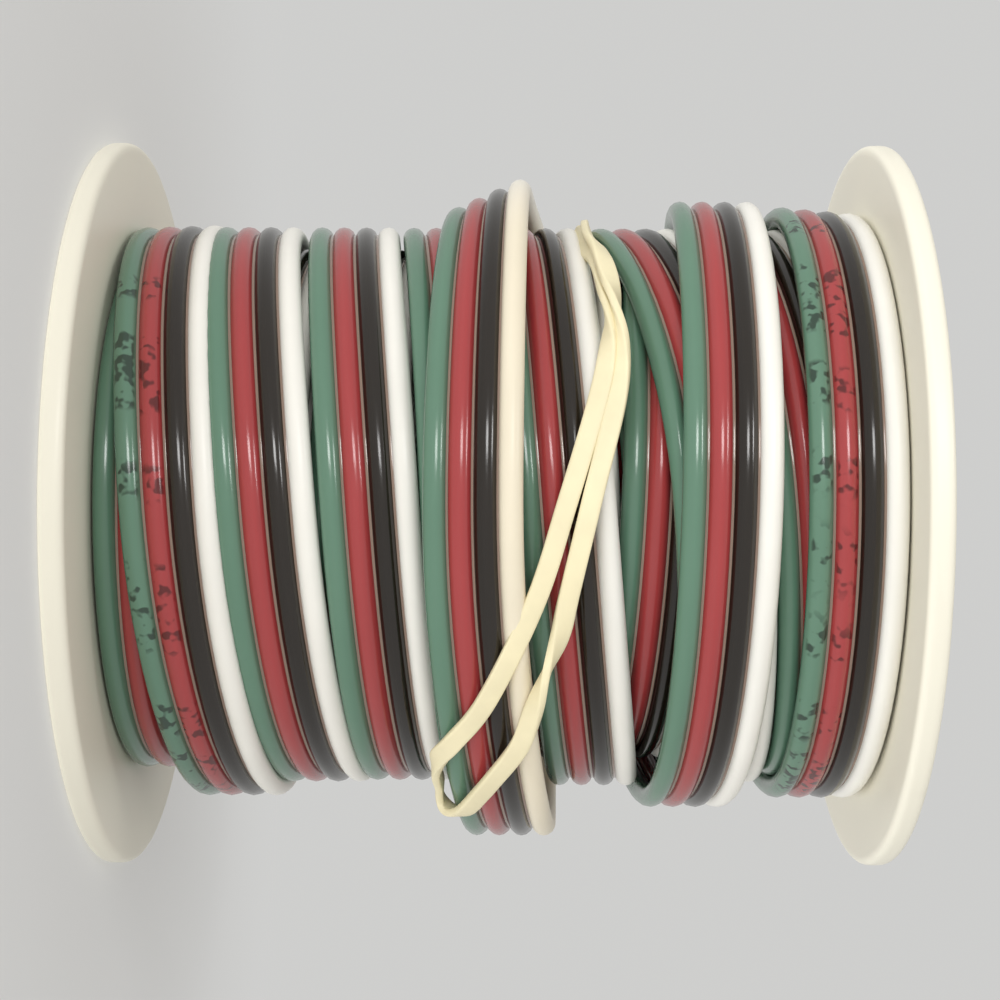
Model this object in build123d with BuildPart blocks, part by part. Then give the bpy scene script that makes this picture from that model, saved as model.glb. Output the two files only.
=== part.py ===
"""A coil of flat four-conductor cable on its spool, held by a doubled rubber band.

The spool stands on one flange: +Z runs along its axis, and the origin is the middle of the lower outer face.
Millimetres.
"""
from build123d import *
import math
import os

# Spool: two flanges, a barrel, and an arbor tube carried on radial ribs
spool_height = 85.0
flange_dia = 80.0
flange_thick = 2.5
rim_chamfer = 0.5
barrel_dia = 34.6
barrel_wall = 2.0
arbor_dia = 16.0
arbor_wall = 1.8
rib_count = 6
rib_thick = 1.6
rib_setback = 3.0

# Cable: four round conductors bonded side by side into a ribbon, wound in layers
conductor_dia = 2.4
conductor_pitch = 2.45
conductor_count = 4
layer_count = 6
bond_groove_depth = 0.8
winding_clear = 0.15

# Turns that lie higher than the top full layer: the raised last turn and the one before it.
# Places run from the lower flange, 0, to the upper one, 1. Lifts are in conductors.
raised_place_shares = (0.473, 0.829)
raised_lift_shares = (1.6, 0.8)

# Rubber band: one flat loop in two strands, from a fold at the back, over the winding and down its front to a
# fold on the last turn. A station is a row: the way round the axis in turns, from -X through -Y, the place
# between the flanges, and the lift above the full layers in conductors. At the back a strand keeps one place.
# The clearance keeps the band off the winding, and its two ends apart where they meet at the back fold.
band_width = 2.0
band_thick = 0.9
band_clear = 0.2
back_turn_shares = (-0.420, -0.375, -0.305, -0.235, -0.165, -0.095, -0.025, 0.045)
back_place_shares = (0.600, 0.640)
back_lift_share = 0.06
back_fold_shares = (-0.430, 0.620, 0.06)
near_strand_shares = (
    (0.100, 0.612, 0.1), (0.146, 0.624, 0.1), (0.200, 0.615, 0.1), (0.245, 0.587, 0.4),
    (0.290, 0.549, 1.5), (0.337, 0.489, 1.7), (0.362, 0.449, 1.65), (0.386, 0.431, 1.65),
)
front_fold_shares = (0.404, 0.431, 1.65)
far_strand_shares = (
    (0.415, 0.453, 1.65), (0.400, 0.483, 1.7), (0.364, 0.533, 1.7), (0.332, 0.560, 1.3), (0.295, 0.587, 0.6),
    (0.248, 0.615, 0.2), (0.200, 0.645, 0.1), (0.146, 0.654, 0.1), (0.100, 0.645, 0.1),
)

# Sizes that follow from those above
flange_r = flange_dia / 2
barrel_r = barrel_dia / 2
barrel_inner_r = barrel_r - barrel_wall
arbor_r = arbor_dia / 2
arbor_outer_r = arbor_r + arbor_wall
inside_width = spool_height - 2 * flange_thick
winding_width = inside_width - 2 * winding_clear
winding_base = flange_thick + winding_clear
winding_inner_r = barrel_r + winding_clear
layer_r = winding_inner_r + layer_count * conductor_dia
ribbon_width = conductor_count * conductor_pitch
turn_count = int(winding_width // ribbon_width)
turn_pitch = winding_width / turn_count


def layer_outline():
    """Half section of the full layers: plain turns of ribbon with a notch where two turns lie side by side.

    A notch is as wide as a conductor and half as deep: the round edges of the two ribbons.
    """
    half = conductor_dia / 2
    points = [(winding_inner_r, winding_base), (layer_r, winding_base)]
    for index in range(1, turn_count):
        seam = winding_base + index * turn_pitch
        points += [(layer_r, seam - half), (layer_r - half, seam), (layer_r, seam + half)]
    top = winding_base + winding_width
    return points + [(layer_r, top), (winding_inner_r, top)]


def ridged_turn(low, high, top_r):
    """Half section of one raised turn of ribbon: a row of ridges, one for each conductor.

    The grooves between bonded conductors are shallow. The two edges of the ribbon fall away further,
    to the middle of its outer conductors.
    """
    pitch = (high - low) / conductor_count
    edge_r = top_r - conductor_dia / 2
    ridges = [(top_r, low + (index + 1 / 2) * pitch) for index in range(conductor_count)]
    grooves = [(top_r - bond_groove_depth, low + index * pitch) for index in range(1, conductor_count)]
    crest = sorted(ridges + grooves, key=lambda point: point[1])
    return [(winding_inner_r, low), (edge_r, low), *crest, (edge_r, high), (winding_inner_r, high)]


def band_stations():
    """Stations round the loop, from the back fold down the near strand and back up the far one."""
    near_back, far_back = (
        [(turn, place, back_lift_share) for turn in back_turn_shares] for place in back_place_shares
    )
    near = [*near_back, *near_strand_shares]
    far = [*far_strand_shares, *reversed(far_back)]
    return [back_fold_shares, *near, front_fold_shares, *far]


def band_point(turn, place, lift):
    """Middle of the band at a station: it lies flat, a small gap above what carries it."""
    reach = layer_r + lift * conductor_dia + band_clear + band_thick / 2
    angle = 2 * math.pi * turn
    return Vector(-reach * math.cos(angle), -reach * math.sin(angle), winding_base + place * winding_width)


def planes_across(points):
    """Planes across a closed loop, one at each point: square to the line between its neighbours, and turned
    so that what lies flat on them faces away from the axis."""
    planes = []
    for index, point in enumerate(points):
        run = points[(index + 1) % len(points)] - points[index - 1]
        out = Vector(point.X, point.Y, 0)
        planes.append(Plane(origin=point, x_dir=run.cross(out), z_dir=run))
    return planes


os.makedirs("parts", exist_ok=True)

# Spool: flanges and barrel are one turned section, the arbor tube and its ribs stand inside the barrel
with BuildPart() as spool:
    with BuildSketch(Plane.XZ) as wall_section:
        with BuildLine():
            Polyline(
                (barrel_inner_r, 0),
                (flange_r - rim_chamfer, 0),
                (flange_r, rim_chamfer),
                (flange_r, flange_thick),
                (barrel_r, flange_thick),
                (barrel_r, spool_height - flange_thick),
                (flange_r, spool_height - flange_thick),
                (flange_r, spool_height - rim_chamfer),
                (flange_r - rim_chamfer, spool_height),
                (barrel_inner_r, spool_height),
                close=True,
            )
        make_face()
    revolve(axis=Axis.Z)
    with BuildSketch() as arbor_ring:
        Circle(arbor_outer_r)
        Circle(arbor_r, mode=Mode.SUBTRACT)
    extrude(amount=spool_height)
    rib_root_r = arbor_outer_r - arbor_wall / 2
    rib_tip_r = barrel_inner_r + barrel_wall / 2
    with BuildSketch(Plane.XY.offset(rib_setback)) as rib_bars:
        with PolarLocations((rib_root_r + rib_tip_r) / 2, rib_count):
            Rectangle(rib_tip_r - rib_root_r, rib_thick)
    extrude(amount=spool_height - 2 * rib_setback)
spool.part.label = "spool"

# Cable winding: the full layers, then the raised turns laid over them
with BuildPart() as cable_winding:
    with BuildSketch(Plane.XZ) as winding_section:
        with BuildLine():
            Polyline(*layer_outline(), close=True)
        make_face()
        for place, lift in zip(raised_place_shares, raised_lift_shares):
            low = winding_base + place * (winding_width - ribbon_width)
            with BuildLine():
                Polyline(*ridged_turn(low, low + ribbon_width, layer_r + lift * conductor_dia), close=True)
            make_face()
    revolve(axis=Axis.Z)
cable_winding.part.label = "cable_winding"

# Rubber band: a flat bar drawn through its stations, from the back fold round the whole loop and back to it
with BuildPart() as rubber_band:
    loop = planes_across([band_point(*station) for station in band_stations()])
    for plane in [*loop, loop[0].offset(-band_clear)]:
        with BuildSketch(plane):
            Rectangle(band_width, band_thick)
    loft()
rubber_band.part.label = "rubber_band"

export_step(spool.part, "parts/spool.step")
export_step(cable_winding.part, "parts/cable_winding.step")
export_step(rubber_band.part, "parts/rubber_band.step")
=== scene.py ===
# %% [markdown]
# # A coil of four-conductor cable on its spool
# The object is a flat ribbon of four insulated wires, wound in layers on a white plastic spool and held by
# a rubber band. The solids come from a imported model, which stays as it is. This lesson lays a dressed
# surface over each solid, gives it a finish, and lights it as on a plain studio table.
# The model is loaded first. Its outer sizes could be typed in again, but they are measured from the loaded
# boxes, so that they can't drift apart. Hidden sizes are in no box, and are written where they are used.

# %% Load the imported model
import math

import bpy
import numpy as np
from mathutils import Matrix, Vector


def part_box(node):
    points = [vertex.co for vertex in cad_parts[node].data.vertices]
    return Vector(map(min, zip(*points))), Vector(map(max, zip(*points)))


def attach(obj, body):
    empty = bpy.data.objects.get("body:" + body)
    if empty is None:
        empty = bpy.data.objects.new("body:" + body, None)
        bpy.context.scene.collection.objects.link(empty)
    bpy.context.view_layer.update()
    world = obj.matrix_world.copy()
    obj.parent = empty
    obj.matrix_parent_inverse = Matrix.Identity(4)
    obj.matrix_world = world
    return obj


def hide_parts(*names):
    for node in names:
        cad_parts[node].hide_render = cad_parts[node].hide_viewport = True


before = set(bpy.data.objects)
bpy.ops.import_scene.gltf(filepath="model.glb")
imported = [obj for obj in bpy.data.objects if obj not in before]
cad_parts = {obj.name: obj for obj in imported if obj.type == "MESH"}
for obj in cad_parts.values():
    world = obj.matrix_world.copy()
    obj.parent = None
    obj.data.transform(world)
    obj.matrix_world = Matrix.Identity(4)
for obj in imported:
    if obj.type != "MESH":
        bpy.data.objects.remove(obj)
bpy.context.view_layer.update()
MM = 0.001
spool_low, spool_high = (np.array(corner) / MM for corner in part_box("spool"))
winding_low, winding_high = (np.array(corner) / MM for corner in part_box("cable_winding"))
spool_height = spool_high[2] - spool_low[2]
flange_r = (spool_high[0] - spool_low[0]) / 2
mid_z = (spool_low[2] + spool_high[2]) / 2
winding_half_width = (winding_high[2] - winding_low[2]) / 2
print(f"spool {2 * flange_r:.1f} mm across and {spool_height:.1f} mm high")

# %% [markdown]
# ## Camera
# The spool stands on one flange, and the picture shows it from the side with its axis across the frame. So
# the camera stands level with the middle of the axis and is rolled a quarter turn: the way up the axis is
# to the right of the picture. A camera could be aimed by eye, or by a constraint. Its matrix is written out
# instead, because the focal length in pixels and the distance were measured from the flanges' ellipses, and
# the middle of the spool has to appear at its own pixel.

# %% Camera
PICTURE_PX = 1000
SENSOR_MM = 36.0
focal_px = 1891
camera_distance = 214.0
camera_roll = math.radians(0.22)
spool_middle_px = (497.5, 504)


def aim_camera():
    """Eye = spool's middle, less the distance square to the axis, less the middle's offset in the picture."""
    level_right, level_up, forward = Vector((0, 0, 1)), Vector((-1, 0, 0)), Vector((0, 1, 0))
    right = level_right * math.cos(camera_roll) + level_up * math.sin(camera_roll)
    up = level_up * math.cos(camera_roll) - level_right * math.sin(camera_roll)
    mm_per_px = camera_distance / focal_px
    aside = (spool_middle_px[0] - PICTURE_PX / 2) * mm_per_px
    below = (spool_middle_px[1] - PICTURE_PX / 2) * mm_per_px
    eye = Vector((0, 0, mid_z)) - forward * camera_distance - right * aside + up * below
    turn = Matrix((right, up, -forward)).transposed().to_4x4()
    return Matrix.Translation(eye * MM) @ turn


camera_data = bpy.data.cameras.new("camera")
camera_data.sensor_width = SENSOR_MM
camera_data.lens = SENSOR_MM * focal_px / PICTURE_PX
camera = bpy.data.objects.new("camera", camera_data)
camera.matrix_world = aim_camera()
bpy.context.scene.collection.objects.link(camera)
bpy.context.scene.camera = camera
print(f"lens {camera_data.lens:.1f} mm, eye at {[round(x, 4) for x in camera.location]}")

# %% [markdown]
# ## The cable's route: buried layers
# A spool is filled in layers. The ribbon creeps along the axis by its own width each turn, hugs the flange
# for a turn while it climbs, and creeps back on top of itself. One helix could stand for the whole cable,
# but it would look machine-made, because the turns that show are uneven. Only the buried layers are
# regular, so they alone are worked out by a formula.
# One turn of the route is one unit of its parameter, and whole numbers are at the top of the picture. Each
# turn has four stations: where it passes the top, the front, the bottom and the back.

# %% Buried layers
conductor_dia = 2.4
conductor_pitch = 2.45
conductor_count = 4
conductor_r = conductor_dia / 2
conductor_offsets = (np.arange(conductor_count) - (conductor_count - 1) / 2) * conductor_pitch
barrel_r = 17.3
first_layer_r = barrel_r + conductor_r
full_layers = 4
turns_per_layer = 8
hug = winding_half_width - conductor_offsets[-1] - conductor_r
sag = 0.8
sag_layers = 5
nest_depth = 0.3
nest_place = 18.0
nest_over = 12.0
quarters = np.arange(4) / 4


def smooth_step(share):
    """0 below 0, 1 above 1, and 3s² - 2s³ between."""
    s = np.clip(share, 0, 1)
    return s * s * (3 - 2 * s)


def buried_stations():
    """Stations of the full layers: the place goes from flange to flange in equal steps, one a turn, and holds
    at the flange for the layer's last turn; the radius is the layer's own, less the sag at the top, and in
    the last turn's last quarter it is halfway to the next layer. Near the upper flange the layers nest, so
    each lies closer to the one below it."""
    layer, turn, quarter = np.meshgrid(
        np.arange(full_layers), np.arange(turns_per_layer), quarters, indexing="ij"
    )
    across = np.minimum((turn + quarter) / (turns_per_layer - 1), 1)
    place = np.where(layer % 2 == 0, 1, -1) * hug * (1 - 2 * across)
    climbing = (turn == turns_per_layer - 1) & (quarter == quarters[-1])
    nest = nest_depth * smooth_step((place - nest_place) / nest_over)
    radius = first_layer_r + (layer + climbing / 2) * (conductor_dia - nest)
    radius = radius - sag * layer / sag_layers * np.cos(2 * math.pi * quarter)
    at = layer * turns_per_layer + turn + quarter
    return at.ravel(), place.ravel(), radius.ravel(), np.zeros(at.size)


buried = buried_stations()
print(f"{len(buried[0])} stations in {full_layers} buried layers")

# %% [markdown]
# ## The cable's route: turns that show
# The outer turns lean, overlap and ride up, as a hand lays them. A simulation could drop them into place,
# but never into the places of this one spool. So each turn has a row of its own, given for its
# four stations: places along the axis, outer radii, and tilts in degrees.

# %% Turns that show
shown_turns = {
    "fifth_a": ((28.7, 27.3, 24.8, 21.8), (28.0, 28.4, 28.0, 28.1), (0, 0, 0, 0)),
    "fifth_b": ((18.5, 17.0, 14.5, 11.4), (28.4, 29.1, 28.4, 28.5), (0, 0, 0, 0)),
    "fifth_c": ((8.2, 6.8, 4.3, 1.2), (28.5, 29.3, 28.5, 28.6), (0, 0, 0, 0)),
    "fifth_d": ((-2.0, -3.5, -6.0, -9.1), (28.5, 29.3, 28.5, 28.6), (0, 0, 0, 0)),
    "fifth_e": ((-12.2, -13.8, -16.3, -19.4), (28.5, 29.3, 28.5, 28.6), (0, 0, 0, 0)),
    "fifth_f": ((-22.5, -24.1, -26.6, -31.0), (28.5, 29.3, 28.5, 28.6), (0, 0, 0, 0)),
    "fifth_g": ((-35.0, -35.0, -35.0, -35.0), (28.5, 29.3, 29.6, 30.2), (0, 0, 0, 0)),
    "sixth_a": ((-35.4, -31.8, -27.8, -26.8), (30.9, 31.7, 32.7, 31.7), (2, 0, 0, 0)),
    "sixth_b": ((-26.4, -22.6, -18.4, -16.9), (30.9, 31.7, 31.1, 31.0), (0, 0, 0, 0)),
    "sixth_c": ((-16.1, -12.3, -9.2, -7.2), (30.9, 31.7, 30.9, 31.0), (0, 0, 0, 0)),
    "sixth_d": ((-5.8, -2.7, -0.5, 1.6), (30.9, 31.7, 30.9, 31.0), (0, 0, 0, 0)),
    "sixth_e": ((3.6, 6.8, 10.9, 12.6), (30.9, 31.7, 31.4, 31.0), (0, 0, 0, 0)),
    "sixth_f": ((14.6, 22.0, 24.3, 25.4), (30.9, 31.2, 31.0, 31.0), (0, 0, 0, 0)),
    "sixth_g": ((26.9, 31.8, 34.2, 34.6), (30.9, 30.2, 30.3, 30.6), (0, 0, 0, 0)),
    "seventh_a": ((34.9, 35.0, 34.5, 27.5), (33.0, 32.7, 32.7, 33.4), (-5, 0, 0, 0)),
    "seventh_b": ((23.9, 22.6, 20.3, 11.5), (33.9, 33.6, 33.8, 34.6), (0, 0, 0, 0)),
    "seventh_c": ((-0.8, -2.3, 1.9, 3.2), (34.7, 35.0, 37.0, 36.4), (25, 6, 0, 0)),
}
last_turn_share = 0.64
first_shown_turn = full_layers * turns_per_layer
route_turns = first_shown_turn + len(shown_turns) - 1 + last_turn_share
shown = np.array(list(shown_turns.values()))
shown_at = (first_shown_turn + np.arange(len(shown))[:, None] + quarters).ravel()
station_at = np.concatenate([buried[0], shown_at])
station_place = np.concatenate([buried[1], shown[:, 0].ravel()])
station_radius = np.concatenate([buried[2], shown[:, 1].ravel() - conductor_r])
station_tilt = np.concatenate([buried[3], shown[:, 2].ravel()])
print(f"{len(station_at)} stations, {route_turns:.2f} turns")

# %% [markdown]
# ## The ribbon's middle line
# Between its stations the ribbon runs smoothly. A plain spline would do, but it overshoots, and then turns
# cut into each other or into a flange. So each stretch is a cubic that stays between its two stations. The
# ribbon's width direction is square to its run and, where it lies flat, along the axis. A tilt turns it
# outwards.

# %% Middle line
points_per_turn = 36
flange_gap = 0.05
wavers = ((0.06, 9.7, 0), (0.05, 16.1, 1))


def flow(keys, values, at):
    """Smooth line through stations that never overshoots them: cubic pieces, whose slope at a station is the
    harmonic mean of the slopes on its two sides, or zero where the line turns back."""
    keys, values = np.asarray(keys, float), np.asarray(values, float)
    step = np.diff(keys)
    rise = np.diff(values) / step
    onward = rise[:-1] * rise[1:] > 0
    mean = 2 * rise[:-1] * rise[1:] / np.where(onward, rise[:-1] + rise[1:], 1)
    slope = np.concatenate([rise[:1], np.where(onward, mean, 0), rise[-1:]])
    i = np.clip(np.searchsorted(keys, at, side="right") - 1, 0, len(step) - 1)
    s = (at - keys[i]) / step[i]
    rest = 1 - s
    start = (1 + 2 * s) * rest**2 * values[i] + s * rest**2 * step[i] * slope[i]
    return start + s**2 * (3 - 2 * s) * values[i + 1] - s**2 * rest * step[i] * slope[i + 1]


def run_directions(line):
    """Along: the unit step from point to point. Across: outwards times along, so it points up the axis.
    Out: along times across, square to both."""
    along = np.gradient(line, axis=0)
    along /= np.linalg.norm(along, axis=1, keepdims=True)
    outwards = line * (1, 1, 0)
    outwards /= np.linalg.norm(outwards, axis=1, keepdims=True)
    across = np.cross(outwards, along)
    across /= np.linalg.norm(across, axis=1, keepdims=True)
    return along, across, np.cross(along, across)


def ribbon_points():
    """The ribbon's middle line: a circle whose radius and place along the axis flow through the stations,
    with a slow waver of a tenth of a millimetre. A quadratic NURBS runs a little inside its control points,
    by the same share all the way round a circle, so the circle swells by that share. Returns points, and
    the tilted width direction."""
    turn = np.arange(0, route_turns, 1 / points_per_turn)
    tilt = np.radians(flow(station_at, station_tilt, turn))
    waver = sum(size * np.sin(rate * turn + phase) for size, rate, phase in wavers)
    place = flow(station_at, station_place, turn) + waver
    room = winding_half_width - conductor_r - conductor_offsets[-1] * np.cos(tilt) + flange_gap
    place = np.clip(place, -room, room)
    swell = 4 / (3 + math.cos(2 * math.pi / points_per_turn))
    radius = flow(station_at, station_radius, turn) * swell
    angle = 2 * math.pi * turn
    line = np.stack([-radius * np.cos(angle), -radius * np.sin(angle), place], axis=1)
    _, across, out = run_directions(line)
    width = across * np.cos(tilt)[:, None] + out * np.sin(tilt)[:, None]
    return line + (0, 0, mid_z), width


def length_along(line):
    """Distance from the line's start to each of its points."""
    return np.concatenate([[0], np.cumsum(np.linalg.norm(np.diff(line, axis=0), axis=1))])


ribbon_line, ribbon_width = ribbon_points()
ribbon_length = length_along(ribbon_line)
print(f"ribbon {ribbon_length[-1] / 1000:.2f} m long")

# %% [markdown]
# ## Conductors' lines
# The four conductors stand side by side along the ribbon's width direction, and each is a cord of its own.
# A curve object with a round bevel would give its tube at once, but the webs between the wires and the
# marks along them need the line's points too. So Blender only works out a smooth NURBS line from the
# control points, and its points are kept.

# %% Conductors' lines
nurbs_order = 3
points_per_control = 2


def nurbs_line(name, points):
    """The points of a quadratic NURBS with these control points, two to each, as Blender gives them."""
    curve = bpy.data.curves.new(name, "CURVE")
    curve.dimensions = "3D"
    curve.resolution_u = points_per_control
    spline = curve.splines.new("NURBS")
    spline.points.add(len(points) - 1)
    spline.points.foreach_set("co", np.insert(points, 3, 1, axis=1).ravel())
    spline.order_u = nurbs_order
    spline.use_endpoint_u = True
    holder = bpy.data.objects.new(name, curve)
    mesh = bpy.data.meshes.new_from_object(holder)
    line = np.empty(len(mesh.vertices) * 3)
    mesh.vertices.foreach_get("co", line)
    bpy.data.objects.remove(holder)
    bpy.data.curves.remove(curve)
    bpy.data.meshes.remove(mesh)
    return line.reshape(-1, 3)


conductor_lines = {
    name: nurbs_line(name, ribbon_line + ribbon_width * offset)
    for name, offset in zip(("green", "red", "black", "white"), conductor_offsets)
}
print(f"{len(conductor_lines['green'])} points in each conductor")

# %% [markdown]
# ## Surfaces from grids
# Every surface below is a grid of points: rows along a path, columns round a section. Modifiers could build
# some of them, but a grid is the same few lines for a wire, a web, a spool or a band, and numpy fills it at
# once. One helper turns a grid into faces, another puts points and faces into a mesh. A closed section
# joins its last column to its first. The texture coordinates keep counting there, so that a pattern has no
# seam running backwards.

# %% Grid helpers
def grid_faces(rows, columns, ring=False, first=0):
    """Quads of a grid: each joins a point, the next in its row, and the two below. Columns wrap round;
    with ring, rows do too."""
    i = np.arange(rows if ring else rows - 1)[:, None]
    j = np.arange(columns)
    below, beside = (i + 1) % rows, (j + 1) % columns
    corners = [i * columns + j, i * columns + beside, below * columns + beside, below * columns + j]
    return np.stack(corners, axis=-1).reshape(-1, 4) + first


def tube_faces(count, rows, columns):
    """Faces of several tubes whose points follow one another: every grid's quads, and the flat ends."""
    first = np.arange(count)[:, None] * rows * columns
    quads = (first[..., None] + grid_faces(rows, columns)).reshape(-1, 4)
    end = np.arange(columns)
    return quads, [first + end[::-1], first + end + (rows - 1) * columns]


def grid_uv(along, columns):
    """Texture coordinates of grid_faces: the share of the way round, and the distance along in metres."""
    i = np.arange(len(along) - 1)[:, None] + np.zeros((1, columns), int)
    j = np.arange(columns) + np.zeros((len(along) - 1, 1), int)
    round_share = np.stack([j, j + 1, j + 1, j], axis=-1) / columns
    distance = np.stack([along[i], along[i], along[i + 1], along[i + 1]], axis=-1)
    return np.stack([round_share, distance * MM], axis=-1).reshape(-1, 2)


def sweep(line, section, turn=0.0):
    """A section carried along a line: point = line + across·x + out·y, with the section turned by an angle
    that may change along the way."""
    _, across, out = run_directions(line - (0, 0, mid_z))
    turn = np.broadcast_to(turn, len(line))
    c, s = np.cos(turn)[:, None], np.sin(turn)[:, None]
    side, up = across * c + out * s, out * c - across * s
    return line[:, None] + side[:, None] * section[:, :1] + up[:, None] * section[:, 1:]


# %% Mesh helper
def make_piece(name, points, smooth_groups, flat_groups, material, uv=None):
    """Points in millimetres and groups of faces, each an array of corner numbers, become one mesh. Faces in
    smooth groups are shaded as one curved surface, those in flat groups one by one."""
    mesh = bpy.data.meshes.new(name)
    face_groups = [*smooth_groups, *flat_groups]
    corners = np.concatenate([group.ravel() for group in face_groups])
    sizes = np.concatenate([np.full(len(group), group.shape[1]) for group in face_groups])
    smooth_count = sum(len(group) for group in smooth_groups)
    mesh.vertices.add(len(points))
    mesh.vertices.foreach_set("co", (points * MM).ravel())
    mesh.loops.add(len(corners))
    mesh.loops.foreach_set("vertex_index", corners)
    mesh.polygons.add(len(sizes))
    mesh.polygons.foreach_set("loop_start", np.cumsum(sizes) - sizes)
    mesh.polygons.foreach_set("use_smooth", np.arange(len(sizes)) < smooth_count)
    if uv is not None:
        layer = mesh.uv_layers.new(name="lay")
        padded = np.zeros((len(corners), 2))
        padded[: len(uv)] = uv
        layer.data.foreach_set("uv", padded.ravel())
    mesh.update(calc_edges=True)
    mesh.validate()
    mesh.materials.append(material)
    piece = bpy.data.objects.new(name, mesh)
    bpy.context.scene.collection.objects.link(piece)
    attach(piece, "root")
    return piece


# %% [markdown]
# ## Building materials
# A material is a tree of nodes. The trees could be drawn by hand in the editor, but a few helpers write
# them down shortly: one adds a node with its settings and links, one does a sum, one makes a smooth step.

# %% Node helpers
def new_material(name):
    """An empty material with one Principled shader: returns the material, its nodes' tree and the shader."""
    material = bpy.data.materials.new(name)
    material.use_nodes = True
    tree = material.node_tree
    shader = tree.nodes["Principled BSDF"]
    return material, tree, shader


def add_node(tree, kind, links=None, **values):
    """A node with named settings, and links from its input names to other nodes' outputs or to values."""
    node = tree.nodes.new(kind)
    for key, value in values.items():
        setattr(node, key, value)
    for key, source in (links or {}).items():
        if isinstance(source, bpy.types.NodeSocket):
            tree.links.new(source, node.inputs[key])
        else:
            node.inputs[key].default_value = source
    return node


def calculate(tree, operation, *values):
    """A Math node on sockets or numbers."""
    return add_node(tree, "ShaderNodeMath", dict(enumerate(values)), operation=operation).outputs[0]


def fade(tree, value, start, end, low=0.0):
    """A smooth step that is low at start and 1 at end."""
    links = {"Value": value, "From Min": start, "From Max": end, "To Min": low}
    return add_node(
        tree, "ShaderNodeMapRange", links, interpolation_type="SMOOTHSTEP"
    ).outputs["Result"]


# %% [markdown]
# ## Marks along the wires
# The green and the red wire carry a line of dark marks on their outer side, in groups, once in every few
# turns. An image could hold them, but plain blots from noise need no file and stay sharp. The noise reads
# the texture coordinates: how far round the wire a point lies, and how far along.

# %% Marks
marked_turns = (39.01, 45.99)
marked_length = 0.088
marked_half_width = 0.19
marked_core_share = 0.6
blots_round = 6.5
blots_per_metre = 950.0
blot_detail = 1.0
blot_edge = (0.51, 0.63)
groups_per_metre = 130.0
group_edge = (0.42, 0.5)
seed_spread = 60.0
outer_side = 0.5
marked_at = ribbon_length[[int(turn * points_per_turn) for turn in marked_turns]] * MM


def ink_mask(tree, seed):
    """1 on a blot of ink and 0 off it. The way along counts from a marked stretch's start, and starts again
    at the next one. Within the stretch, and near the wire's outer side, noise above a threshold is a blot. A
    second noise along the wire parts the blots into groups. The seed gives each wire its own blots."""
    uv = add_node(tree, "ShaderNodeUVMap", uv_map="lay").outputs[0]
    around, along, _ = add_node(tree, "ShaderNodeSeparateXYZ", {0: uv}).outputs
    from_start = calculate(tree, "SUBTRACT", along, marked_at[0])
    since = calculate(tree, "FLOORED_MODULO", from_start, marked_at[1] - marked_at[0])
    aside = calculate(tree, "ABSOLUTE", calculate(tree, "SUBTRACT", around, outer_side))
    place = add_node(tree, "ShaderNodeCombineXYZ", {
        "X": calculate(tree, "MULTIPLY", around, blots_round),
        "Y": calculate(tree, "MULTIPLY", along, blots_per_metre),
        "Z": calculate(tree, "MULTIPLY", seed, seed_spread),
    }).outputs[0]
    blots = add_node(
        tree, "ShaderNodeTexNoise", {"Vector": place, "Scale": 1.0, "Detail": blot_detail}
    ).outputs["Fac"]
    grouping = calculate(tree, "MULTIPLY", along, groups_per_metre)
    groups = add_node(
        tree, "ShaderNodeTexNoise", {"W": grouping, "Scale": 1.0, "Detail": 0.0}, noise_dimensions="1D"
    ).outputs["Fac"]
    ink = calculate(tree, "MULTIPLY", fade(tree, blots, *blot_edge), fade(tree, groups, *group_edge))
    core = marked_core_share * marked_half_width
    near = calculate(
        tree, "MULTIPLY", fade(tree, aside, marked_half_width, core),
        calculate(tree, "LESS_THAN", since, marked_length),
    )
    return calculate(tree, "MULTIPLY", ink, near)


print(f"marks from {marked_at[0]:.2f} m and from {marked_at[1]:.2f} m along the wire")

# %% [markdown]
# ## Mottle
# No plastic is quite even: its colour has a faint mottle, and handling leaves its gloss uneven. Each
# material could have its own noise. A node group makes it once for all of them, with named inputs, and each
# material gives its own values. The group also takes the marks' ink off the colour. Print says how dark the
# ink is.

# %% Mottle group
mottle_detail = 3.0
grain_scale = 900.0
grain_detail = 2.0
noise_middle = 0.5


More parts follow.
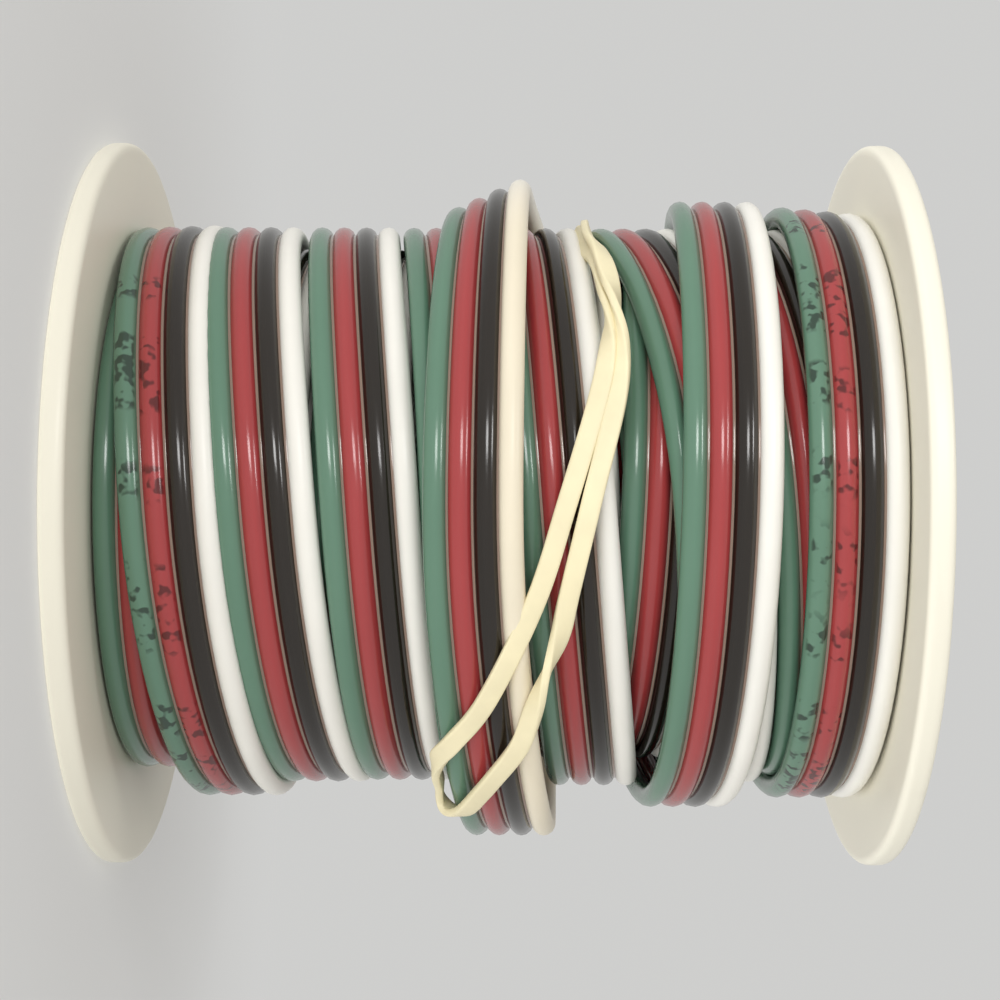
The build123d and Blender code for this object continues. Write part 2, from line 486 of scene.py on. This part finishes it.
def mottle_group():
    """Colour times a slow noise and less the ink, roughness plus that noise, and a fine noise as height."""
    tree = bpy.data.node_groups.new("mottle", "ShaderNodeTree")
    for name, kind in (("Colour", "NodeSocketColor"), ("Depth", "NodeSocketFloat"),
                       ("Roughness", "NodeSocketFloat"), ("Uneven", "NodeSocketFloat"),
                       ("Scale", "NodeSocketFloat"), ("Print", "NodeSocketFloat")):
        tree.interface.new_socket(name, in_out="INPUT", socket_type=kind)
    for name, kind in (("Colour", "NodeSocketColor"), ("Roughness", "NodeSocketFloat"),
                       ("Height", "NodeSocketFloat")):
        tree.interface.new_socket(name, in_out="OUTPUT", socket_type=kind)
    given = tree.nodes.new("NodeGroupInput").outputs
    result = tree.nodes.new("NodeGroupOutput").inputs
    place = add_node(tree, "ShaderNodeTexCoord").outputs["Object"]
    slow = add_node(
        tree, "ShaderNodeTexNoise", {"Vector": place, "Scale": given["Scale"], "Detail": mottle_detail}
    ).outputs["Fac"]
    grain = add_node(
        tree, "ShaderNodeTexNoise", {"Vector": place, "Scale": grain_scale, "Detail": grain_detail}
    ).outputs["Fac"]
    dark = calculate(tree, "SUBTRACT", slow, noise_middle)
    shade = calculate(tree, "MULTIPLY_ADD", dark, given["Depth"], 1.0)
    ink = calculate(tree, "MULTIPLY", ink_mask(tree, given["Print"]), given["Print"])
    shade = calculate(tree, "MULTIPLY", shade, calculate(tree, "SUBTRACT", 1.0, ink))
    colour = add_node(
        tree, "ShaderNodeVectorMath", {0: given["Colour"], "Scale": shade}, operation="SCALE"
    ).outputs[0]
    rough = calculate(tree, "MULTIPLY_ADD", dark, given["Uneven"], given["Roughness"])
    tree.links.new(colour, result["Colour"])
    tree.links.new(rough, result["Roughness"])
    tree.links.new(grain, result["Height"])
    return tree


mottle = mottle_group()
print(f"group {mottle.name} with {len(mottle.nodes)} nodes")

# %% [markdown]
# ## Vinyl
# The insulation is smooth, glossy vinyl in four colours. A coat over a matt base could give the gloss, but
# vinyl is coloured right through, so one plain plastic with a low roughness is truer. The white wire is
# less glossy than the others. The webs are clear vinyl over the groove between two wires, and their dark
# brown colour is painted shade of that groove.

# %% Vinyl
plastic_ior = 1.58
relief_distance = 0.0002
white_tone = (0.85, 0.83, 0.77)


def mottled(name, colour, roughness, depth=0.1, uneven=0.1, scale=120.0, bump=0.02, ink=0.0):
    """A plastic with the mottle group on its colour, roughness and normal."""
    material, tree, shader = new_material(name)
    values = {"Colour": (*colour, 1), "Depth": depth, "Roughness": roughness,
              "Uneven": uneven, "Scale": scale, "Print": ink}
    group = add_node(tree, "ShaderNodeGroup", values, node_tree=mottle)
    tree.links.new(group.outputs["Colour"], shader.inputs["Base Color"])
    tree.links.new(group.outputs["Roughness"], shader.inputs["Roughness"])
    shader.inputs["IOR"].default_value = plastic_ior
    height = {"Height": group.outputs["Height"], "Strength": bump, "Distance": relief_distance}
    relief = add_node(tree, "ShaderNodeBump", height)
    tree.links.new(relief.outputs["Normal"], shader.inputs["Normal"])
    return material


vinyl = {
    "green": mottled("green_vinyl", (0.112, 0.222, 0.152), roughness=0.18, ink=0.74),
    "red": mottled("red_vinyl", (0.365, 0.044, 0.046), roughness=0.18, ink=0.68),
    "black": mottled("black_vinyl", (0.016, 0.011, 0.007), roughness=0.17),
    "white": mottled("white_vinyl", white_tone, roughness=0.38),
}
# The web's dark brown is painted shade of the groove between the wires, on glossy clear vinyl.
web_vinyl_painted_shade = mottled("web_vinyl_painted_shade", (0.3, 0.21, 0.16), roughness=0.13)
print(f"{len(vinyl)} vinyl colours")

# %% [markdown]
# ## Yellowed turn
# The last turn lies on the outside, and there the white wire has gone cream. It could be a separate piece
# with its own material, but the wire is one, so its colour changes along it instead.

# %% Yellowed turn
cream_tone = (0.8, 0.72, 0.56)
stained_turn = 47.9
stained_over = 0.03


def stain_white():
    """Colour = white, then a smooth step along the wire to cream. A Mix node has inputs for every kind of
    value: 0 is the share, 6 and 7 are the colours, and output 2 is the mixed one."""
    tree = vinyl["white"].node_tree
    uv = add_node(tree, "ShaderNodeUVMap", uv_map="lay").outputs[0]
    along = add_node(tree, "ShaderNodeSeparateXYZ", {0: uv}).outputs["Y"]
    start = ribbon_length[int(stained_turn * points_per_turn)] * MM
    share = fade(tree, along, start, start + stained_over)
    links = {0: share, 6: (*white_tone, 1), 7: (*cream_tone, 1)}
    tone = add_node(tree, "ShaderNodeMix", links, data_type="RGBA").outputs[2]
    tree.links.new(tone, tree.nodes["Group"].inputs["Colour"])
    return start


print(f"white turns to cream from {stain_white():.2f} m along")

# %% [markdown]
# ## Conductors
# A wire is a round section along its line. A curve's bevel would leave it without texture coordinates in
# metres, which the marks need, so the section is swept here. The ends are flat, as the cutter leaves them.

# %% Conductors
conductor_sides = 14


def circle_section(radius, sides):
    """Points on a circle, from the underside round: radius times the cosine and sine of equal angles."""
    angle = 2 * math.pi * np.arange(sides) / sides - math.pi / 2
    return radius * np.stack([np.cos(angle), np.sin(angle)], axis=1)


def tube(name, line, section, material):
    """The section swept along the line, with a flat face at each end."""
    rings = sweep(line, section)
    rows, columns = rings.shape[:2]
    quads, ends = tube_faces(1, rows, columns)
    uv = grid_uv(length_along(line), columns)
    return make_piece(name, rings.reshape(-1, 3), [quads], ends, material, uv)


for name, line in conductor_lines.items():
    conductor = tube(f"{name}_conductor", line, circle_section(conductor_r, conductor_sides), vinyl[name])
    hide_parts("cable_winding")
    print(f"{conductor.name}: {len(conductor.data.polygons)} faces")

# %% [markdown]
# ## Cut end
# The cable's outer end lies at the back of the winding. It is cut square, and seven strands of bare copper
# show in each wire: one in the middle and six round it. A bump could hint at them, but a rod for each
# strand keeps its shape in the mesh. Each is a short rod with a domed end.

# %% Copper strands
strand_r = 0.18
strand_ring_r = 0.37
strand_ring_count = 6
strand_sides = 10
strand_rise = np.array([-0.4, 0.22, 0.3, 0.33])
strand_taper = np.array([1.0, 1.0, 0.8, 0.4])


def strand_rods(line):
    """Rods round the line's last point: ring angle and height along the run make each rod's rings."""
    along, across, out = (way[-1] for way in run_directions(line - (0, 0, mid_z)))
    spread = circle_section(strand_ring_r, strand_ring_count)
    centres = np.concatenate([[(0, 0)], spread])
    ring = circle_section(strand_r, strand_sides)
    flat = centres[:, None, None] + strand_taper[:, None, None] * ring
    rise = strand_rise[None, :, None, None] * along
    return line[-1] + flat[..., :1] * across + flat[..., 1:] * out + rise


rods = np.concatenate([strand_rods(line) for line in conductor_lines.values()])
rod_quads, rod_ends = tube_faces(*rods.shape[:3])
copper = mottled("bare_copper", (0.72, 0.36, 0.2), roughness=0.3, uneven=0.2, scale=900.0)
copper.node_tree.nodes["Principled BSDF"].inputs["Metallic"].default_value = 1.0
strands = make_piece("copper_strands", rods.reshape(-1, 3), [rod_quads], rod_ends, copper)
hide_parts("cable_winding")
print(f"{strands.name}: {len(rods)} strands")

# %% [markdown]
# ## Webs
# The four wires are bonded side by side, and a narrow web of clear vinyl fills the groove between two of
# them. It could be drawn on the wires as a line, but then it would catch no light. So it is a strip of its
# own, half sunk between the wires. Only a thin line of it shows, with a bright edge. Its section is a block
# with hollow top and bottom, and it runs between two conductors' lines.

# %% Webs
web_half_width = 0.3
web_edge_height = 0.5
web_dip = 0.34
web_section = np.array([
    (-web_half_width, -web_edge_height), (0, -web_dip), (web_half_width, -web_edge_height),
    (web_half_width, web_edge_height), (0, web_dip), (-web_half_width, web_edge_height),
])


def web_rings(left, right):
    """The section carried halfway between two lines, and leaning as the way from one to the other does."""
    middle = (left + right) / 2
    _, across, out = run_directions(middle - (0, 0, mid_z))
    way = right - left
    lean = np.arctan2((way * out).sum(1), (way * across).sum(1))
    return sweep(middle, web_section, lean)


lines = list(conductor_lines.values())
web_grids = np.stack([web_rings(left, right) for left, right in zip(lines, lines[1:])])
web_quads, web_ends = tube_faces(*web_grids.shape[:3])
webs = make_piece("conductor_webs", web_grids.reshape(-1, 3), [web_quads], web_ends, web_vinyl_painted_shade)
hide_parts("cable_winding")
print(f"{webs.name}: {len(webs.data.polygons)} faces")

# %% [markdown]
# ## Spool
# The spool is one moulding: two flanges on a barrel, and inside it an arbor tube on six ribs. A moulding
# has no sharp edge. A Bevel modifier could round the edges after the section is turned, but it is simpler
# to round the section's corners before. Each corner is replaced by a short parabola, and by one more point
# on either side of it, which keeps the flat faces flat in shading.

# %% Turned walls
flange_thick = 2.5
barrel_wall = 2.0
arbor_r = 8.0
arbor_wall = 1.8
rim_round = 0.9
edge_round = 0.5
lathe_steps = 256
barrel_inner_r = barrel_r - barrel_wall
arbor_outer_r = arbor_r + arbor_wall


def rounded_outline(corners, rounds, steps=7, guard=1.25):
    """Corner c with unit ways a and b to its neighbours, and round d: points c + a·d(1-s)² + b·d·s², for s
    from 0 to 1."""
    corners, rounds = np.array(corners, float), np.array(rounds, float)[:, None]
    before = np.roll(corners, 1, axis=0) - corners
    after = np.roll(corners, -1, axis=0) - corners
    before /= np.linalg.norm(before, axis=1, keepdims=True)
    after /= np.linalg.norm(after, axis=1, keepdims=True)
    s = np.linspace(0, 1, steps)[:, None, None]
    curve = corners + before * rounds * (1 - s) ** 2 + after * rounds * s**2
    guards = corners + before * rounds * guard, corners + after * rounds * guard
    stack = np.concatenate([guards[0][None], curve, guards[1][None]])
    return stack.transpose(1, 0, 2).reshape(-1, 2)


def lathe(outline, first=0):
    """The outline turned round the axis: x = r·cos a, y = r·sin a. Returns points and faces. The angle runs
    backwards, so that the faces of an outline drawn counterclockwise look outwards."""
    angle = -2 * math.pi * np.arange(lathe_steps)[:, None] / lathe_steps
    r, z = outline[:, 0], outline[:, 1]
    points = np.stack([r * np.cos(angle), r * np.sin(angle), z + 0 * angle], axis=-1)
    faces = grid_faces(lathe_steps, len(outline), ring=True, first=first)
    return points.reshape(-1, 3), faces


wall_corners = [
    (barrel_inner_r, 0), (flange_r, 0), (flange_r, flange_thick), (barrel_r, flange_thick),
    (barrel_r, spool_height - flange_thick), (flange_r, spool_height - flange_thick),
    (flange_r, spool_height), (barrel_inner_r, spool_height),
]
wall_rounds = [edge_round, rim_round, rim_round, edge_round, edge_round, rim_round, rim_round, edge_round]
arbor_corners = [(arbor_r, 0), (arbor_outer_r, 0), (arbor_outer_r, spool_height), (arbor_r, spool_height)]
arbor_rounds = [edge_round] * len(arbor_corners)
wall_points, wall_faces = lathe(rounded_outline(wall_corners, wall_rounds))
arbor_points, arbor_faces = lathe(rounded_outline(arbor_corners, arbor_rounds), len(wall_points))
print(f"turned walls: {len(wall_faces) + len(arbor_faces)} faces")

# %% [markdown]
# ## Ribs and the whole spool
# Flat ribs carry the arbor tube. They could be cut from a disc, but plain bars are closed shapes already,
# and their ends sink into the walls, as moulded ribs run into theirs. They are shaded flat. Satin plastic,
# a little uneven, covers the whole spool.

# %% Ribs and spool
rib_count = 6
rib_thick = 1.6
rib_setback = 3.0


def rib_boxes(first):
    """Bars from the arbor tube to the barrel, one at each equal angle: a box's eight corners, turned."""
    reach = np.array([arbor_outer_r - arbor_wall / 2, barrel_inner_r + barrel_wall / 2])
    side = np.array([-rib_thick, rib_thick]) / 2
    rise = np.array([rib_setback, spool_height - rib_setback])
    x, y, z = (grid.ravel() for grid in np.meshgrid(reach, side, rise, indexing="ij"))
    angle = 2 * math.pi * np.arange(rib_count)[:, None] / rib_count
    points = np.stack([x * np.cos(angle) - y * np.sin(angle),
                       x * np.sin(angle) + y * np.cos(angle), z + 0 * angle], axis=-1)
    box = np.array([(0, 1, 3, 2), (4, 6, 7, 5), (0, 4, 5, 1), (2, 3, 7, 6), (0, 2, 6, 4), (1, 5, 7, 3)])
    faces = box + first + len(x) * np.arange(rib_count)[:, None, None]
    return points.reshape(-1, 3), faces.reshape(-1, 4)


rib_points, rib_faces = rib_boxes(len(wall_points) + len(arbor_points))
spool_points = np.concatenate([wall_points, arbor_points, rib_points])
spool_plastic = mottled("spool_plastic", (0.85, 0.815, 0.69), roughness=0.42,
                        depth=0.06, uneven=0.15, scale=60.0, bump=0.05)
spool = make_piece("spool_moulding", spool_points, [wall_faces, arbor_faces], [rib_faces], spool_plastic)
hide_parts("spool")
print(f"{spool.name}: {len(spool.data.polygons)} faces")

# %% [markdown]
# ## Rubber band
# One flat loop is stretched over the winding, so it lies in two strands. In front it crosses the last turn
# and its end wraps round the ribbon's green edge; at the back its other end is tucked under the ribbon. A
# curve with a flat bevel could follow the same way, but its tilt is hard to steer through the folds. So
# stations give the clock angle in turns from the top, the place along the axis, the radius, and how far the
# flat of the band is rolled over, in degrees. Where the roll changes by half a turn, the strand twists.

# %% Band stations
band_stations = np.array([
    (0.000, 8.9, 30.2, 260), (0.070, 8.9, 30.7, 235), (0.105, 10.2, 31.9, 205), (0.130, 10.8, 32.4, 170),
    (0.152, 11.0, 32.6, 100), (0.174, 10.8, 32.7, 35), (0.200, 9.7, 32.6, 5), (0.248, 6.8, 32.9, 0),
    (0.292, 3.8, 34.6, 0), (0.337, -0.9, 36.4, 0), (0.360, -4.2, 36.6, 10), (0.373, -5.7, 36.0, 45),
    (0.386, -6.1, 35.4, 88), (0.404, -5.8, 34.7, 95), (0.416, -5.8, 35.2, 80), (0.418, -4.8, 36.4, 35),
    (0.411, -3.4, 37.2, 8), (0.394, -1.7, 37.4, 0), (0.381, -0.2, 37.3, 0), (0.360, 2.3, 37.1, -10),
    (0.343, 3.5, 36.7, -40), (0.326, 4.7, 35.9, -95), (0.309, 6.1, 34.7, -150), (0.290, 7.0, 33.8, -178),
    (0.248, 9.1, 32.9, -180), (0.200, 11.5, 32.7, -190), (0.172, 12.0, 33.1, -225), (0.148, 11.6, 33.4, -290),
    (0.125, 11.0, 33.2, -345), (0.100, 10.3, 32.6, -325), (0.070, 9.5, 31.6, -298), (0.000, 9.8, 30.6, -280),
    (-0.100, 10.8, 31.0, -350), (-0.200, 11.5, 31.6, -360), (-0.300, 11.0, 32.0, -360),
    (-0.380, 10.2, 32.4, -360), (-0.420, 9.6, 32.6, -360), (-0.440, 8.0, 32.6, -380),
    (-0.420, 6.5, 32.6, -450), (-0.380, 6.6, 32.4, -510), (-0.300, 7.6, 32.0, -540),
    (-0.200, 8.3, 31.6, -540), (-0.100, 8.6, 31.0, -480),
])
band_gain = np.array([0, 0, 0, -720.0])
band_steps = 14


def closed_flow(stations, steps, gain):
    """Smooth closed line through stations: cubic pieces whose slope at a station is half the step from the
    one before to the one after. Gain is what each value has grown by after one round."""
    before = np.roll(stations, 1, axis=0)
    before[0] -= gain
    after = np.roll(stations, -1, axis=0)
    after[-1] += gain
    slope = (after - before) / 2
    next_slope = np.roll(slope, -1, axis=0)
    s = np.arange(steps)[None, :, None] / steps
    here, there, m0, m1 = (v[:, None] for v in (stations, after, slope, next_slope))
    line = (1 + 2 * s) * (1 - s) ** 2 * here + s * (1 - s) ** 2 * m0
    line = line + s**2 * (3 - 2 * s) * there - s**2 * (1 - s) * m1
    return line.reshape(-1, stations.shape[1])


band_line = closed_flow(band_stations, band_steps, band_gain)
print(f"{len(band_stations)} stations, {len(band_line)} points round the band")

# %% [markdown]
# ## The band's surface
# A rubber band is cut from a tube, so its section is a flat bar with soft edges. A box with a bevel could
# be bent along the way. A softened ellipse carried round the closed line gives the same bar and joins up
# with itself.

# %% Band
band_width = 2.0
band_thick = 0.9
band_softness = 0.4
band_section_points = 20


def soften(wave):
    """The wave's sign times its size to a small power, which squares a circle towards a box."""
    return np.sign(wave) * np.abs(wave) ** band_softness


def band_rings():
    """A rounded bar carried round the closed line: half width times a softened cosine, half thickness times
    a softened sine, on axes that start as across and outwards and roll about the run. The way round the
    section runs backwards, so that the faces look outwards."""
    turn, place, radius, roll = band_line.T
    angle = 2 * math.pi * turn
    line = np.stack([-radius * np.cos(angle), -radius * np.sin(angle), place], axis=1)
    along = np.roll(line, -1, axis=0) - np.roll(line, 1, axis=0)
    along /= np.linalg.norm(along, axis=1, keepdims=True)
    out = line * (1, 1, 0)
    out -= along * (out * along).sum(1, keepdims=True)
    out /= np.linalg.norm(out, axis=1, keepdims=True)
    side = np.cross(along, out)
    c, s = np.cos(np.radians(roll))[:, None], np.sin(np.radians(roll))[:, None]
    up, flat = out * c + side * s, side * c - out * s
    around = -2 * math.pi * np.arange(band_section_points) / band_section_points
    x, y = band_width / 2 * soften(np.cos(around)), band_thick / 2 * soften(np.sin(around))
    return line[:, None] + flat[:, None] * x[:, None] + up[:, None] * y[:, None] + (0, 0, mid_z)


rings = band_rings()
band_faces = grid_faces(*rings.shape[:2], ring=True)
rubber = mottled("band_rubber", (0.83, 0.745, 0.49), roughness=0.5, depth=0.25, scale=260.0, bump=0.1)
band = make_piece("rubber_loop", rings.reshape(-1, 3), [band_faces], [], rubber)
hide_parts("rubber_band")
print(f"{band.name}: {len(band.data.polygons)} faces")

# %% [markdown]
# ## Floor
# The spool stands on a pale, matt floor that takes its shadow. A plain plane would end at a horizon. A
# curved backdrop would hide that from one side only, so the floor fades into the surround's colour all
# round instead, by a glow that grows with the distance. Light that the floor sends on to the object counts
# for more, as from a white card laid beside it.

# %% Floor
backdrop_colour = (0.62, 0.62, 0.61, 1)
floor_colour = (0.8, 0.8, 0.79, 1)
floor_roughness = 0.9
floor_size = 6.0
floor_matt_r = 0.03
floor_glow_r = 0.16
floor_least_glow = 0.45
floor_bounce = 2.6


def make_floor():
    """A square plane at the spool's foot. Near the spool it is half matt and takes shadows; further off it
    fades into the surround's colour, so that no horizon shows."""
    material, tree, shader = new_material("floor")
    shader.inputs["Base Color"].default_value = floor_colour
    shader.inputs["Roughness"].default_value = floor_roughness
    place = add_node(tree, "ShaderNodeTexCoord").outputs["Object"]
    away = add_node(tree, "ShaderNodeVectorMath", {0: place}, operation="LENGTH").outputs["Value"]
    share = fade(tree, away, floor_matt_r, floor_glow_r, low=floor_least_glow)
    bounce = add_node(tree, "ShaderNodeLightPath").outputs["Is Diffuse Ray"]
    levels = {"Value": bounce, "To Min": 1.0, "To Max": floor_bounce}
    strength = add_node(tree, "ShaderNodeMapRange", levels).outputs["Result"]
    glow = add_node(tree, "ShaderNodeEmission", {"Color": backdrop_colour, "Strength": strength}).outputs[0]
    mix = add_node(tree, "ShaderNodeMixShader", {"Fac": share, 1: shader.outputs[0], 2: glow})
    tree.links.new(mix.outputs[0], tree.nodes["Material Output"].inputs["Surface"])
    half = floor_size / 2
    corners = [(-half, -half, 0), (half, -half, 0), (half, half, 0), (-half, half, 0)]
    mesh = bpy.data.meshes.new("floor")
    mesh.from_pydata(corners, [], [(0, 1, 2, 3)])
    mesh.materials.append(material)
    floor = bpy.data.objects.new("floor", mesh)
    bpy.context.scene.collection.objects.link(floor)
    return floor


print(f"{make_floor().name} {floor_size:.0f} m wide")

# %% [markdown]
# ## Surround
# The camera sees one even, pale colour behind the object, and so do reflections. A sky image could light
# the object too, but it would show in every glossy wire. So the world has two sides: the even colour for
# what is seen, and for the light on the object a soft glow that is stronger from one way, like a room with
# a window.

# %% Surround
surround_colour = (1, 0.98, 0.95, 1)
surround_least = 0.13
surround_most = 0.7
bright_way = (-0.36, -0.58, 0.73)


def seen_rays(tree):
    """1 for rays from the camera, in reflections and through glass, and 0 for the light on the object."""
    rays = add_node(tree, "ShaderNodeLightPath").outputs
    either = calculate(tree, "MAXIMUM", rays["Is Camera Ray"], rays["Is Glossy Ray"])
    return calculate(tree, "MAXIMUM", either, rays["Is Transmission Ray"])


def make_surround():
    """The world: the backdrop's colour where it is seen, and else a light whose strength grows with the
    product of the ray's way and the bright way, from the least to the most."""
    world = bpy.data.worlds.new("surround")
    world.use_nodes = True
    tree = world.node_tree
    light = tree.nodes["Background"]
    way = add_node(tree, "ShaderNodeTexCoord").outputs["Generated"]
    toward = add_node(
        tree, "ShaderNodeVectorMath", {0: way, 1: bright_way}, operation="DOT_PRODUCT"
    ).outputs["Value"]
    levels = {"Value": toward, "From Min": -1.0, "From Max": 1.0,
              "To Min": surround_least, "To Max": surround_most}
    strength = add_node(tree, "ShaderNodeMapRange", levels).outputs["Result"]
    light.inputs["Color"].default_value = surround_colour
    tree.links.new(strength, light.inputs["Strength"])
    seen = add_node(tree, "ShaderNodeBackground", {"Color": backdrop_colour}).outputs[0]
    mix = add_node(tree, "ShaderNodeMixShader", {"Fac": seen_rays(tree), 1: light.outputs[0], 2: seen})
    tree.links.new(mix.outputs[0], tree.nodes["World Output"].inputs["Surface"])
    bpy.context.scene.world = world
    return world


print(f"world {make_surround().name}, strength {surround_least} to {surround_most}")

# %% [markdown]
# ## Lamps
# Each glossy wire carries a bright streak just above its middle, with a second one beside it. One lamp
# gives one streak, so there are two soft boxes: a wide window near the camera, and a narrow one farther
# along the axis. Point lamps would give hard dots. The light is kept at a plain level, so that colours
# render about as written.

# %% Lamps
lamp_distance = 1.2


def soft_box(name, rise, aside, width, height, watts):
    """An area lamp. Rise turns it from the camera's side towards the top of the picture, aside along the
    axis, both in degrees. It faces the middle of the spool."""
    data = bpy.data.lights.new(name, "AREA")
    data.shape = "RECTANGLE"
    data.size, data.size_y = width, height
    data.energy = watts
    lamp = bpy.data.objects.new(name, data)
    up, over = math.radians(rise), math.radians(aside)
    way = Vector((-math.sin(up), -math.cos(up) * math.cos(over), math.cos(up) * math.sin(over)))
    axis = Vector((0, 0, 1))
    side = (axis - way * way.dot(axis)).normalized()
    turn = Matrix((side, way.cross(side), way)).transposed().to_4x4()
    lamp.matrix_world = Matrix.Translation(way * lamp_distance + Vector((0, 0, mid_z * MM))) @ turn
    bpy.context.scene.collection.objects.link(lamp)
    return lamp


lamps = [
    soft_box("main_window", rise=22, aside=12, width=0.38, height=0.23, watts=2.95),
    soft_box("side_window", rise=17, aside=62, width=0.18, height=0.22, watts=1.5),
]
bpy.context.scene.view_settings.view_transform = "Standard"
print("lamps:", ", ".join(f"{lamp.name} {lamp.data.energy:.2f} W" for lamp in lamps))
